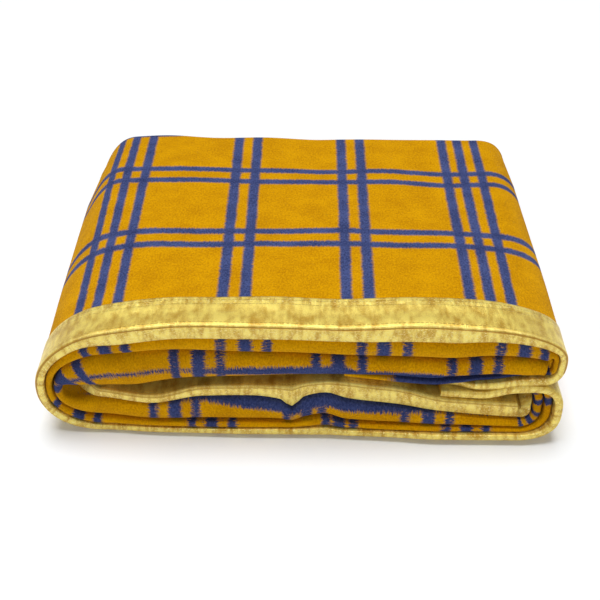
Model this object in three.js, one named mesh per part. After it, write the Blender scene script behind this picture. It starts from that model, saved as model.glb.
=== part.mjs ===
import * as THREE from 'three';

// Folded cotton blanket with a satin binding on its two short edges.
// Millimetres. X runs along the front, Y from the front to the back, Z is up.
// The sheet is first pleated front to back into six layers. The pleated strip is
// then wrapped: upper flap, top run, left turn, bottom run, lower flap.

// Overall sizes of the folded stack
const halfWidth = 257.5;
const depth = 350;
const height = 150;

// The cloth and its binding
const layers = 6;
const clothThickness = 5;
const satinThickness = 1;
const pieceGap = 0.5;
const layerGap = 0.7;
const bindingWidth = 46;
const skin = satinThickness + pieceGap;

// Where the strip turns
const rightTurnX = 217.5;
const lowerRightEdge = 253;
const leftTopTurnX = -107.5;
const leftBottomTurnX = -202.5;
const innerLeftX = -221;
const flapTipX = 140;

// Share of the left turn where the inner side goes round its own tight turn
const turnStart = 0.4;
const turnEnd = 0.7;

// Heights of the two flaps that meet in the middle of the right side
const upperFlapBottom = 63.6;
const upperFlapTop = 88.2;
const lowerFlapTop = 62.6;
const rightPinch = 61.5;

// Distances behind the front where the pleats settle
const noseDepth = 16;
const bandDepth = 44;
const bandEnd = 96;
const bodyDepth = 135;
const farBack = 46;

// Underside of the top run along X
const topRunInner = [
  { x: -225, z: 65 },
  { x: -199, z: 62.5 },
  { x: -150, z: 56 },
  { x: -101, z: 67 },
  { x: -52, z: 69 },
  { x: 24, z: 72 },
  { x: 60, z: 73 },
  { x: 95, z: 76 },
  { x: 132, z: 88.5 },
  { x: 160, z: 91 },
  { x: 225, z: 91 },
];

// Upper side of the bottom run along X, with the waves of its inner edge
const bottomRunInner = [
  { x: -225, z: 62.5 },
  { x: -199, z: 60 },
  { x: -150, z: 52 },
  { x: -101, z: 64 },
  { x: -52, z: 66 },
  { x: -16, z: 64 },
  { x: 7, z: 68 },
  { x: 24, z: 69 },
  { x: 46, z: 66 },
  { x: 66, z: 62 },
  { x: 95, z: 57 },
  { x: 140, z: 45 },
  { x: 173, z: 42.5 },
  { x: 225, z: 39 },
];

// Underside of the lower flap along X
const lowerFlapInner = [
  { x: 130, z: 46.5 },
  { x: 165, z: 44.5 },
  { x: 225, z: 41 },
];

// Parts of the strip, in order, and how many steps each takes
const upperFlap = 0;
const upperTurn = 1;
const topRun = 2;
const leftTurn = 3;
const bottomRun = 4;
const lowerTurn = 5;
const lowerFlap = 6;
const stepsPerPart = [1, 6, 5, 14, 0, 6, 1];
const bottomRunStops = [-175, -150, -125, -101, -75, -52, -30, -16, 0, 24, 46, 66, 95, 140, 180];

// Front edges of the pleats. Distances are measured from the outer side of the strip.
// outer: end of the outer bound edge, first and second: ends of the two front rolls,
// inner: start of the inner bound edge. The last four say how far each lies back.
const frontColumns = [
  'at', 'outer', 'first', 'second', 'inner', 'backOuter', 'backFirst', 'backSecond', 'backInner',
];
const front = [
  [0.0, 12, 13, 18, 19, 3, farBack, farBack, farBack],
  [1.0, 12, 13, 19, 20, 3, farBack, farBack, farBack],
  [1.5, 9, 18, 28, 29, 2, 8, 12, farBack],
  [2.0, 21, 46, 66, 52, 0, 2, 2, farBack],
  [2.1, 24, 49, 71, 52, 0, 2, 1, farBack],
  [2.38, 23, 49, 73.5, 67, 0, 2, 1, farBack],
  [2.66, 19.5, 45, 74, 71, 0, 2, 1, farBack],
  [3.0, 19.5, 40, 80, 76, 0, 2, 1, farBack],
  [3.12, 21, 37.5, 83, 83, 0, 2, 1, farBack],
  [3.25, 12, 28, 70, 69, 0, 2, 1, farBack],
  [3.38, 9.5, 19, 48, 50, 1, 3, 2, farBack],
  [3.5, 9, 16.5, 27, 28, 2, 4, 4, farBack],
  [3.62, 9, 17.5, 28.5, 29, 4, 5, 5, 38],
  [3.75, 9, 19, 36, 38, 5, 6, 5, 22],
  [4.0, 8.5, 21, 48, 49, 6, 5, 4, 6],
  [4.12, 8, 19, 41, 42, 3, 3, 2, 5],
  [4.24, 8, 19, 50, 51, 2, 2, 1, 4],
  [4.36, 8, 17, 51, 52, 1, 2, 1, 4],
  [4.44, 8, 16, 39, 40, 1, 2, 1, 3],
  [4.48, 8.5, 19, 50, 51, 1, 2, 1, 4],
  [4.54, 10, 25, 57, 58, 1, 2, 1, 4],
  [4.59, 8, 17, 49, 50, 0, 2, 1, 4],
  [4.7, 8, 16, 41, 42, -2, 0, 0, 4],
  [4.82, 8, 16, 33, 34, -5, -2, -2, 2],
  [5.0, 8.5, 16, 27, 28, -5, -2, -2, 2],
  [5.5, 8, 15, 22, 23, -3, 8, 12, 8],
  [6.0, 8, 12, 15, 11, 3, farBack, farBack, 3],
  [7.0, 8, 10, 12, 10, 3, farBack, farBack, 3],
].map((row) => Object.fromEntries(frontColumns.map((name, column) => [name, row[column]])));

function mix(a, b, t) {
  return a + (b - a) * t;
}

function ease(t) {
  return t * t * (3 - 2 * t);
}

// Value of one column of a table at a place along its key column
function lookUp(table, key, place, column) {
  const last = table.length - 1;
  if (place <= table[0][key]) return table[0][column];
  for (let row = 0; row < last; row += 1) {
    const here = table[row];
    const next = table[row + 1];
    if (place <= next[key]) {
      return mix(here[column], next[column], ease((place - here[key]) / (next[key] - here[key])));
    }
  }
  return table[last][column];
}

// Rounded turn: angle -90 is straight down, 0 to the side, 90 straight up
function turnPoint(centreX, centreZ, radiusX, radiusZ, squareness, degrees) {
  const angle = THREE.MathUtils.degToRad(degrees);
  const across = Math.abs(Math.cos(angle)) ** (2 / squareness);
  const up = Math.sign(Math.sin(angle)) * Math.abs(Math.sin(angle)) ** (2 / squareness);
  return { x: centreX + radiusX * across, z: centreZ + radiusZ * up };
}

// Outer side of the strip seen from the front
function outerPoint(at) {
  const part = Math.min(Math.floor(at), lowerFlap);
  const t = at - part;
  const turn = mix(-90, 90, t);
  if (part === upperFlap) {
    return { x: mix(flapTipX, rightTurnX, t), z: mix(upperFlapBottom, rightPinch + 1, ease(t)) };
  }
  if (part === upperTurn) {
    const bottom = rightPinch + 1;
    return turnPoint(rightTurnX, (height + bottom) / 2, halfWidth - rightTurnX,
      (height - bottom) / 2, 2.3, turn);
  }
  if (part === topRun) {
    return { x: mix(rightTurnX, leftTopTurnX, t), z: height };
  }
  if (part === leftTurn) {
    const top = t < 0.5;
    const centreX = top ? leftTopTurnX : leftBottomTurnX;
    const squareness = top ? 2.5 : 2.2;
    return turnPoint(centreX, height / 2, -halfWidth - centreX, height / 2, squareness, -turn);
  }
  if (part === bottomRun) {
    return { x: mix(leftBottomTurnX, rightTurnX, t), z: 0 };
  }
  if (part === lowerTurn) {
    return turnPoint(rightTurnX, rightPinch / 2, lowerRightEdge - rightTurnX, rightPinch / 2, 2.2, turn);
  }
  return { x: mix(rightTurnX, flapTipX, t), z: mix(rightPinch, lowerFlapTop, ease(t)) };
}

// Tight inner turn between two heights
function innerTurn(centreX, lower, upper, side, degrees) {
  const radius = (upper - lower) / 2;
  return turnPoint(centreX, (lower + upper) / 2, side * radius, radius, 2, degrees);
}

// Inner side of the strip at the same place
function innerPoint(at) {
  const part = Math.min(Math.floor(at), lowerFlap);
  const t = at - part;
  const turn = mix(-90, 90, t);
  const outer = outerPoint(at);
  if (part === upperFlap) {
    return { x: outer.x, z: mix(upperFlapTop - 2.5, upperFlapTop, ease(Math.min(1, 2 * t))) };
  }
  if (part === upperTurn) {
    return innerTurn(rightTurnX, upperFlapTop, lookUp(topRunInner, 'x', rightTurnX, 'z'), 1, turn);
  }
  if (part === topRun) {
    return { x: outer.x, z: lookUp(topRunInner, 'x', outer.x, 'z') };
  }
  if (part === leftTurn) {
    const top = lookUp(topRunInner, 'x', innerLeftX, 'z');
    const bottom = lookUp(bottomRunInner, 'x', innerLeftX, 'z');
    if (t < turnStart) {
      const last = outerPoint(leftTurn + turnStart).x;
      const x = mix(leftTopTurnX, innerLeftX, (leftTopTurnX - outer.x) / (leftTopTurnX - last));
      return { x, z: lookUp(topRunInner, 'x', x, 'z') };
    }
    if (t < turnEnd) {
      const share = (t - turnStart) / (turnEnd - turnStart);
      return innerTurn(innerLeftX, bottom, top, -1, mix(90, -90, share));
    }
    const x = mix(innerLeftX, leftBottomTurnX, (t - turnEnd) / (1 - turnEnd));
    return { x, z: lookUp(bottomRunInner, 'x', x, 'z') };
  }
  if (part === bottomRun) {
    return { x: outer.x, z: lookUp(bottomRunInner, 'x', outer.x, 'z') };
  }
  if (part === lowerTurn) {
    const low = lookUp(bottomRunInner, 'x', rightTurnX, 'z');
    const high = lookUp(lowerFlapInner, 'x', rightTurnX, 'z');
    return innerTurn(rightTurnX, low, high, 1, turn);
  }
  return { x: outer.x, z: lookUp(lowerFlapInner, 'x', outer.x, 'z') };
}

// All the places along the strip where a section is set
function stationList() {
  const places = [];
  stepsPerPart.forEach((steps, part) => {
    for (let step = 0; step < steps; step += 1) {
      places.push(part + step / steps);
    }
    if (part === bottomRun) {
      places.push(bottomRun);
      for (const x of bottomRunStops) {
        places.push(bottomRun + (x - leftBottomTurnX) / (rightTurnX - leftBottomTurnX));
      }
    }
  });
  places.push(lowerFlap + 1);
  return places;
}

// One place along the strip: its two sides, its thickness and its front edges
function station(at) {
  const outer = outerPoint(at);
  const inner = innerPoint(at);
  const total = Math.hypot(inner.x - outer.x, inner.z - outer.z);
  const cloth = Math.min(clothThickness, (total - 4 * skin - 5 * layerGap) / layers);
  const edge = {};
  for (const column of frontColumns) {
    edge[column] = lookUp(front, 'at', at, column);
  }
  return { outer, inner, total, cloth, edge };
}

// Middle of a layer, counted from 0 at the outer side, near the front
function bandLevel(place, layer) {
  const half = place.cloth / 2;
  const spare = place.total - 4 * skin - layers * place.cloth;
  const step = place.cloth + spare / (layers - 1);
  const satinBefore = layer === 0 ? skin : 2 * skin;
  const satinHere = layer === layers - 1 ? skin : 0;
  return satinBefore + satinHere + half + layer * step;
}

// Middle of a layer well behind the front
function bodyLevel(place, layer) {
  const half = place.cloth / 2;
  return mix(half, place.total - half, layer / (layers - 1));
}

// How much of its puffed front shape a fold keeps: none when it lies far back
function puff(back) {
  return THREE.MathUtils.clamp((farBack - back) / 20, 0, 1);
}

// Bound edge: a puffed nose that narrows to the flat cloth
function boundEdge(place, layer, start, end, back) {
  const level = bandLevel(place, layer);
  const flat = place.cloth / 2;
  const fullHalf = Math.max((end - start) / 2 - skin, 0.6);
  const middle = mix(level, (start + end) / 2, puff(back));
  const half = mix(flat, fullHalf, puff(back));
  const tip = back + skin;
  const noseEnd = Math.max(noseDepth, tip + half + 1);
  const settled = Math.max(bandDepth, noseEnd + 2);
  return [
    { y: tip, s: middle, half: 0.55 * half },
    { y: tip + 0.3 * half, s: middle, half: 0.88 * half },
    { y: tip + 0.9 * half, s: middle, half },
    { y: noseEnd, s: middle, half: mix(half, 0.9 * half, puff(back)) },
    { y: settled, s: level, half: flat },
    { y: Math.max(bindingWidth + back, settled + 3), s: level, half: flat },
  ];
}

// Front roll joining two layers: up one side, round the nose, back on the other
function frontRoll(place, layer, start, end, back) {
  const flat = place.cloth / 2;
  const levels = [bandLevel(place, layer), bandLevel(place, layer + 1)];
  const half = mix(flat, Math.min(0.85 * flat, (end - start) / 4 - 0.5), puff(back));
  const top = mix(levels[0], start + 0.5 + half, puff(back));
  const bottom = mix(levels[1], end - 0.5 - half, puff(back));
  const rise = (bottom - top) / 2;
  const middle = (top + bottom) / 2;
  const reach = Math.min(rise, 0.4 * rise + 1.5);
  const noseY = back + half + reach;
  const noseEnd = Math.max(noseDepth, noseY + 1);
  const settled = Math.max(bandDepth, noseEnd + 2);
  const nose = [];
  for (let degrees = -90; degrees <= 90; degrees += 30) {
    const angle = THREE.MathUtils.degToRad(degrees);
    nose.push({ y: noseY - reach * Math.cos(angle), s: middle + rise * Math.sin(angle), half });
  }
  return [
    { y: bandEnd, s: levels[0], half: flat },
    { y: settled, s: levels[0], half: flat },
    { y: noseEnd, s: top, half },
    ...nose,
    { y: noseEnd, s: bottom, half },
    { y: settled, s: levels[1], half: flat },
    { y: bandEnd, s: levels[1], half: flat },
  ];
}

// Back fold joining two layers
function backFold(place, layer, back) {
  const half = place.cloth / 2;
  const levels = [bodyLevel(place, layer), bodyLevel(place, layer + 1)];
  const rise = (levels[1] - levels[0]) / 2;
  const middle = (levels[0] + levels[1]) / 2;
  const reach = Math.min(rise, 6);
  const noseY = depth - back - half - reach;
  const points = [{ y: bodyDepth, s: levels[0], half }];
  for (let degrees = -90; degrees <= 90; degrees += 45) {
    const angle = THREE.MathUtils.degToRad(degrees);
    points.push({ y: noseY + reach * Math.cos(angle), s: middle + rise * Math.sin(angle), half });
  }
  points.push({ y: bodyDepth, s: levels[1], half });
  return points;
}

// The pleated sheet at one place, as the middle line of the cloth
function pleatLine(place) {
  const edge = place.edge;
  const innerStart = edge.inner > 0 ? Math.min(edge.inner, place.total - 7) : place.total - 7;
  return [
    ...boundEdge(place, 0, 0, edge.outer, edge.backOuter),
    ...backFold(place, 0, 0),
    ...frontRoll(place, 1, edge.outer, edge.first, edge.backFirst),
    ...backFold(place, 2, 3),
    ...frontRoll(place, 3, edge.first, edge.second, edge.backSecond),
    ...backFold(place, 4, 1),
    ...boundEdge(place, 5, innerStart, place.total, edge.backInner).reverse(),
  ];
}

// Line moved sideways; distance may change from point to point
function offsetLine(line, distanceAt) {
  const normals = [];
  for (let i = 0; i + 1 < line.length; i += 1) {
    const dy = line[i + 1].y - line[i].y;
    const ds = line[i + 1].s - line[i].s;
    const length = Math.hypot(dy, ds);
    normals.push({ y: -ds / length, s: dy / length });
  }
  return line.map((point, i) => {
    const before = normals[Math.max(i - 1, 0)];
    const after = normals[Math.min(i, normals.length - 1)];
    const sumY = before.y + after.y;
    const sumS = before.s + after.s;
    const length = Math.hypot(sumY, sumS);
    const reachOut = Math.max((sumY * after.y + sumS * after.s) / length, 0.6);
    const distance = distanceAt(point) / reachOut;
    return { y: point.y + distance * sumY / length, s: point.s + distance * sumS / length };
  });
}

// Both faces of the cloth at one place
function clothSection(place) {
  const line = pleatLine(place);
  return {
    left: offsetLine(line, (point) => -point.half),
    right: offsetLine(line, (point) => point.half),
  };
}

// A satin channel round the first or the last edge of the cloth
function bindingSection(place, whichEdge) {
  const cloth = clothSection(place);
  const count = 6;
  const pick = (side) => (whichEdge === 'outer' ? side.slice(0, count) : side.slice(-count).reverse());
  const wrap = [...pick(cloth.left).reverse(), ...pick(cloth.right)];
  const outward = whichEdge === 'outer' ? 1 : -1;
  return {
    left: offsetLine(wrap, () => outward * pieceGap),
    right: offsetLine(wrap, () => outward * skin),
  };
}

// A point of a section in space: y from the front, s from the outer to the inner side
function inSpace(place, point) {
  const share = point.s / place.total;
  return [
    mix(place.outer.x, place.inner.x, share),
    point.y,
    mix(place.outer.z, place.inner.z, share),
  ];
}

// Closed body swept through all the sections, with flat ends
function sweptBody(sectionOf) {
  const places = stationList().map(station);
  const rings = places.map((place) => {
    const section = sectionOf(place);
    return [...section.left, ...section.right.reverse()].map((point) => inSpace(place, point));
  });
  const around = rings[0].length;
  const positions = rings.flat(2);
  const index = [];
  for (let ring = 0; ring + 1 < rings.length; ring += 1) {
    for (let i = 0; i < around; i += 1) {
      const a = ring * around + i;
      const b = ring * around + (i + 1) % around;
      // The same diagonal everywhere seen from above, so that facing pieces stay parallel
      if (rings[ring][(i + 1) % around][1] >= rings[ring][i][1]) {
        index.push(a, b, b + around, a, b + around, a + around);
      } else {
        index.push(a, b, a + around, b, b + around, a + around);
      }
    }
  }
  const lastRing = (rings.length - 1) * around;
  for (let i = 0; i + 1 < around / 2; i += 1) {
    const across = around - 1 - i;
    index.push(i, across, across - 1, i, across - 1, i + 1);
    index.push(lastRing + i, lastRing + across - 1, lastRing + across);
    index.push(lastRing + i, lastRing + i + 1, lastRing + across - 1);
  }
  const body = new THREE.BufferGeometry();
  body.setAttribute('position', new THREE.Float32BufferAttribute(positions, 3));
  body.setIndex(index);
  return facingOut(body);
}

// Turns every triangle over when the body encloses a negative volume
function facingOut(body) {
  const index = body.getIndex();
  const position = body.getAttribute('position');
  const corner = [new THREE.Vector3(), new THREE.Vector3(), new THREE.Vector3()];
  let volume = 0;
  for (let i = 0; i < index.count; i += 3) {
    corner.forEach((vertex, k) => vertex.fromBufferAttribute(position, index.getX(i + k)));
    volume += corner[0].dot(corner[1].clone().cross(corner[2]));
  }
  if (volume < 0) {
    for (let i = 0; i < index.count; i += 3) {
      const second = index.getX(i + 1);
      index.setX(i + 1, index.getX(i + 2));
      index.setX(i + 2, second);
    }
  }
  return body;
}

// Materials
const cottonLook = new THREE.MeshStandardMaterial({ color: '#cf960a', roughness: 0.95, metalness: 0 });
const satinLook = new THREE.MeshStandardMaterial({ color: '#cfae45', roughness: 0.4, metalness: 0 });

// The three pieces
const blanket = new THREE.Mesh(sweptBody(clothSection), cottonLook);
blanket.name = 'blanket';
const bindingOuter = new THREE.Mesh(sweptBody((place) => bindingSection(place, 'outer')), satinLook);
bindingOuter.name = 'binding_outer';
const bindingInner = new THREE.Mesh(sweptBody((place) => bindingSection(place, 'inner')), satinLook);
bindingInner.name = 'binding_inner';

const group = new THREE.Group();
group.name = 'folded_blanket';
group.add(blanket, bindingOuter, bindingInner);

// Centre the stack on the origin with its lowest point on the floor
const box = new THREE.Box3().setFromObject(group);
for (const piece of [blanket, bindingOuter, bindingInner]) {
  piece.geometry.translate(
    -(box.min.x + box.max.x) / 2,
    -(box.min.y + box.max.y) / 2,
    -box.min.z,
  );
  piece.geometry.computeVertexNormals();
}

export default group;
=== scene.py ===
"""Folded mustard and navy check blanket with a gold satin binding."""
import math

import bmesh
import bpy
import numpy as np
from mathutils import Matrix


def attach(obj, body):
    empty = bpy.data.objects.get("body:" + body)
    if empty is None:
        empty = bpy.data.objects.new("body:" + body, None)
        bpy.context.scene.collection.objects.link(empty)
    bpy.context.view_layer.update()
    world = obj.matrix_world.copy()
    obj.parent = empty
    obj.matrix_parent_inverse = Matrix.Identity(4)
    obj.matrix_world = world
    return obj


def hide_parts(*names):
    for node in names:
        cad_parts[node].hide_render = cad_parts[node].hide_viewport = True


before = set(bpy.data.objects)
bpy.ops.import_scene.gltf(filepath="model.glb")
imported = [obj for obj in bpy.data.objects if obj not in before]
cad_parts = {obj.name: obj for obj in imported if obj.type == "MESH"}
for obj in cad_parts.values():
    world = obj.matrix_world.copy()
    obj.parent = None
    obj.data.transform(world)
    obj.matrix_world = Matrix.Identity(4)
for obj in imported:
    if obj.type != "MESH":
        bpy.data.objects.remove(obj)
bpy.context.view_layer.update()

# Sizes in millimetres; everything is turned into metres when the meshes are made
MM = 0.001
HEIGHT = 150.0
DEPTH = 350.0
LEFT_EDGE = -265.5
RIGHT_EDGE = 255.0
LOWER_RIGHT_EDGE = 258.0
FRONT_Y = -172.6
LAYERS = 6
CLOTH = 5.0
SATIN = 0.9
PIECE_GAP = 0.4
SKIN = SATIN + PIECE_GAP
LAYER_GAP = 0.6
ROLL_GAP = 1.2

# The satin ends the first distance behind its tip, or the second behind the depth where the
# layers have settled, whichever is further back. On top that is the second, about 43 mm in all
BINDING_WIDTH = 31.0
BINDING_PAST_BAND = 3.0

# Satin between one side of the strip and the other: two bindings with two sides each
SATIN_SIDES = 4

# Depths from the front, where the layers go from their noses to the even stack behind them
NOSE_DEPTH = 16.0
BAND_DEPTH = 40.0
BAND_END = 90.0
BODY_DEPTH = 130.0

# A front edge this far back is flat, and it puffs up over the next stretch forward
FAR_BACK = 42.0
PUFF_STRETCH = 16.0

# Tip of a bound edge: distance back and thickness, as shares of its half thickness, and steps
TIP_PROFILE = ((0.0, 0.78, 2), (0.10, 0.9, 2), (0.45, 1.0, 4))
TIP_LEAST_HALF = 0.6
TIP_WAIST = 0.95
INNER_TIP_ROOM = 6.0

# The cloth is drawn a little thinner over the nose of a front roll
ROLL_THINNING = 0.85

# Back folds: how far each stays in front of the back, how far its nose reaches at most,
# and how far in front of the nose its straight part ends
BACK_FOLDS = (0, 3, 1)
BACK_REACH = 6.0
BACK_NOSE = 14.0

# Where the strip turns, and how square the turns are
UPPER_TURN_X = 236.0
LOWER_TURN_X = 214.0
RIGHT_SHOULDER_X = 100.0
RIGHT_WIDEST_Z = 98.0
LEFT_TOP_TURN_X = -107.5
LEFT_BOTTOM_TURN_X = -202.5
LEFT_WIDEST_Z = 58.0
ROUNDNESS = 2.2
SHOULDER_SQUARENESS = 2.6
LOWER_SQUARENESS = 3.6

# The inner side of the left turn lies between these shares of the turn
INNER_LEFT_X = -221.0
TURN_START = 0.4
TURN_END = 0.7

# The two flaps, and the height at which their turns touch at the right
UPPER_FLAP_TIP_X = 40.0
LOWER_FLAP_TIP_X = 136.0
UPPER_FLAP_TOP = 97.0
UPPER_TIP_DROP = 2.5
LOWER_FLAP_TOP = 63.5
PINCH = 72.5
PINCH_GAP = 0.5

# Parts of the strip. A place is the number of its part and how far along the part it lies
UPPER_FLAP, UPPER_TURN, TOP_RUN, LEFT_TURN, BOTTOM_RUN, LOWER_TURN, LOWER_FLAP = range(7)

# Underside of the top run: x, height
TOP_INNER = [
    (-225, 65), (-199, 62.5), (-150, 56), (-101, 67), (-52, 69), (0, 76), (24, 90), (40, 98),
    (95, 99), (225, 99),
]

# Upper side of the bottom run with the waves of its bound edge: x, height
BOTTOM_INNER = [
    (-225, 63), (-199, 60), (-150, 52), (-101, 64), (-52, 66), (-16, 64), (7, 68), (24, 69),
    (46, 66), (66, 62), (95, 57), (140, 45), (173, 42.5), (225, 39),
]

# Underside of the upper flap, which sags onto the wavy edge below it: x, height
UPPER_FLAP_OUTER = [
    (40, 73), (66, 69), (95, 65), (125, 63), (150, 65), (185, 66.5), (214, 71), (236, 73),
]

# Underside of the lower flap: x, height
LOWER_FLAP_INNER = [(130, 46.5), (165, 44.5), (225, 41)]

# Front edges of the pleats along the strip, measured from its outer side.
# place, end of the outer bound edge, ends of the two rolls, start of the inner bound edge,
# and how far back each of the four lies.
FRONT = [
    (0.0, 6, 12, 18, 19, 14, 6, 8, FAR_BACK),
    (0.45, 6, 13, 18, 19, 14, 5, 8, FAR_BACK),
    (0.57, 7, 12.5, 18, 19, 10, 6, 12, FAR_BACK),
    (0.67, 8, 12, 18, 19, 4, 9, 20, FAR_BACK),
    (0.9, 8, 12, 18, 19, 3, 10, 24, FAR_BACK),
    (1.0, 8, 12, 17, 18, 2, 9, 16, FAR_BACK),
    (1.25, 8, 14, 20, 15, 2, 4, 8, FAR_BACK),
    (1.5, 8, 14, 18, 14, 2, 3, 7, FAR_BACK),
    (1.75, 8.5, 16, 23, 16, 1, 3, 5, FAR_BACK),
    (2.0, 12, 30, 50, 26, 0, 2, 3, FAR_BACK),
    (2.06, 14, 36, 59, 36, 0, 3.5, 3.5, FAR_BACK),
    (2.16, 17, 41, 63, 42, 0, 3.5, 2.5, FAR_BACK),
    (2.29, 22, 47, 70, 47, 0, 3.5, 2.5, FAR_BACK),
    (2.42, 21, 46, 71, 49, 0, 3.5, 2.5, FAR_BACK),
    (2.58, 19.5, 44, 70, 50, 0, 3.5, 2.5, FAR_BACK),
    (2.68, 19.5, 43, 71, 67, 0, 3.5, 2.5, FAR_BACK),
    (3.0, 19.5, 40, 80, 76, 0, 3.5, 2.5, FAR_BACK),
    (3.12, 21, 37.5, 83, 83, 0, 3.5, 2.5, FAR_BACK),
    (3.25, 12, 28, 70, 69, 0, 3.5, 2.5, FAR_BACK),
    (3.38, 9.5, 19, 48, 50, 1, 3, 2, FAR_BACK),
    (3.5, 9, 16.5, 27, 28, 2, 4, 4, FAR_BACK),
    (3.62, 9, 17.5, 28.5, 29, 4, 5, 5, 36),
    (3.75, 9, 19, 36, 38, 5, 6, 5, 22),
    (4.0, 8.5, 21, 48, 49, 6, 5, 4, 6),
    (4.12, 8, 19, 41, 42, 3, 3, 2, 5),
    (4.24, 8, 19, 50, 51, 2, 2, 1, 4),
    (4.36, 8, 17, 51, 52, 1, 2, 1, 4),
    (4.43, 8, 16.5, 46, 47, 1, 2, 1, 4),
    (4.457, 8, 16, 36, 37, 1, 2, 1, 3),
    (4.49, 8.5, 20, 51, 52, 1, 2, 1, 4),
    (4.54, 10, 25, 57, 58, 1, 2, 1, 4),
    (4.59, 8, 17, 49, 50, 0, 2, 1, 4),
    (4.7, 8, 16, 41, 42, -2, 0, 0, 4),
    (4.82, 8, 16, 33, 34, -5, -2, -2, 2),
    (5.0, 8.5, 16, 27, 28, -5, -2, -2, 2),
    (5.5, 8.5, 17.5, 28.5, 29.5, -3, 4, 6, 6),
    (5.65, 8.5, 17, 27, 28, -2, 6, 7, 12),
    (5.8, 9, 15, 24, 24.5, 0, 10, 11, 28),
    (6.0, 10, 12, 21, 21.5, 2, 13, 14, FAR_BACK),
    (7.0, 8, 10, 18, 18.5, 3, 13, 14, FAR_BACK),
]

# How far the inner bound edge stands out from the strip's inner side: place, distance
PLUMP = [(0, 0), (4.3, 0), (4.65, 7), (5.0, 8.5), (5.3, 3), (5.5, 0), (7, 0)]


def mix(a, b, t):
    return a + (b - a) * t


def ease(t):
    return t * t * (3.0 - 2.0 * t)


def slopes(x, y):
    """Slopes that keep a smooth curve through points from overshooting."""
    step = np.diff(x)
    rise = np.diff(y) / step
    slope = np.zeros_like(y)
    same = rise[:-1] * rise[1:] > 0
    w1 = 2 * step[1:] + step[:-1]
    w2 = step[1:] + 2 * step[:-1]
    safe = np.where(same, rise[:-1], 1.0)
    safe_next = np.where(same, rise[1:], 1.0)
    slope[1:-1] = np.where(same, (w1 + w2) / (w1 / safe + w2 / safe_next), 0.0)
    slope[0] = rise[0]
    slope[-1] = rise[-1]
    return slope


def smooth_curve(x, y, at):
    """Smooth curve through the points (x, y), read at the places given."""
    x = np.asarray(x, float)
    y = np.asarray(y, float)
    at = np.clip(at, x[0], x[-1])
    slope = slopes(x, y)
    i = np.clip(np.searchsorted(x, at, side="right") - 1, 0, len(x) - 2)
    width = x[i + 1] - x[i]
    t = (at - x[i]) / width
    t2 = t * t
    t3 = t2 * t
    return (
        (2 * t3 - 3 * t2 + 1) * y[i] + (t3 - 2 * t2 + t) * width * slope[i]
        + (3 * t2 - 2 * t3) * y[i + 1] + (t3 - t2) * width * slope[i + 1]
    )


def table_value(table, at, column=1):
    """Value of a column of a table at a place, on a smooth curve."""
    return float(smooth_curve([row[0] for row in table], [row[column] for row in table], at))


def turn_point(centre_x, centre_z, radius_x, radius_z, squareness, degrees):
    """Point of a rounded turn, which is an ellipse at squareness 2 and squarer above it."""
    angle = math.radians(degrees)
    across = abs(math.cos(angle)) ** (2 / squareness)
    up = math.copysign(abs(math.sin(angle)) ** (2 / squareness), math.sin(angle))
    return centre_x + radius_x * across, centre_z + radius_z * up


SHOULDER_RADIUS = RIGHT_EDGE - RIGHT_SHOULDER_X
SHOULDER_SHARE = (UPPER_TURN_X - RIGHT_SHOULDER_X) / SHOULDER_RADIUS
SHOULDER_END = math.degrees(math.acos(SHOULDER_SHARE ** (SHOULDER_SQUARENESS / 2)))


def right_shoulder(degrees):
    """Right shoulder from its widest place, 0 degrees, to the flat top, 90 degrees."""
    return turn_point(RIGHT_SHOULDER_X, RIGHT_WIDEST_Z, SHOULDER_RADIUS,
                      HEIGHT - RIGHT_WIDEST_Z, SHOULDER_SQUARENESS, degrees)


def top_height(x):
    """Height of the top run, flat up to the right shoulder and falling over it."""
    share = max(0.0, x - RIGHT_SHOULDER_X) / SHOULDER_RADIUS
    drop = (1 - share ** SHOULDER_SQUARENESS) ** (1 / SHOULDER_SQUARENESS)
    return RIGHT_WIDEST_Z + (HEIGHT - RIGHT_WIDEST_Z) * drop


def outer_point(at):
    """Outer side of the strip, seen from the front."""
    part = min(int(at), LOWER_FLAP)
    t = at - part
    turn = mix(-90, 90, t)
    if part == UPPER_FLAP:
        x = mix(UPPER_FLAP_TIP_X, UPPER_TURN_X, t)
        return x, table_value(UPPER_FLAP_OUTER, x)
    if part == UPPER_TURN and t < 0.5:
        return turn_point(UPPER_TURN_X, RIGHT_WIDEST_Z, RIGHT_EDGE - UPPER_TURN_X,
                          RIGHT_WIDEST_Z - PINCH - PINCH_GAP, ROUNDNESS, turn)
    if part == UPPER_TURN:
        return right_shoulder(turn * SHOULDER_END / 90)
    if part == TOP_RUN:
        x = mix(UPPER_TURN_X, LEFT_TOP_TURN_X, t)
        return x, top_height(x)
    if part == LEFT_TURN:
        centre_x = LEFT_TOP_TURN_X if t < 0.5 else LEFT_BOTTOM_TURN_X
        radius_z = HEIGHT - LEFT_WIDEST_Z if t < 0.5 else LEFT_WIDEST_Z
        return turn_point(centre_x, LEFT_WIDEST_Z, LEFT_EDGE - centre_x, radius_z, ROUNDNESS, -turn)
    if part == BOTTOM_RUN:
        return mix(LEFT_BOTTOM_TURN_X, LOWER_TURN_X, t), 0.0
    if part == LOWER_TURN:
        return turn_point(LOWER_TURN_X, PINCH / 2, LOWER_RIGHT_EDGE - LOWER_TURN_X, PINCH / 2,
                          LOWER_SQUARENESS if t > 0.5 else ROUNDNESS, turn)
    return mix(LOWER_TURN_X, LOWER_FLAP_TIP_X, t), mix(PINCH, LOWER_FLAP_TOP, ease(min(1, 2 * t)))


def inner_turn(centre_x, lower, upper, side, degrees):
    """Point of a half circle between two heights, bulging to one side."""
    radius = (upper - lower) / 2
    return turn_point(centre_x, (lower + upper) / 2, side * radius, radius, 2, degrees)


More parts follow.
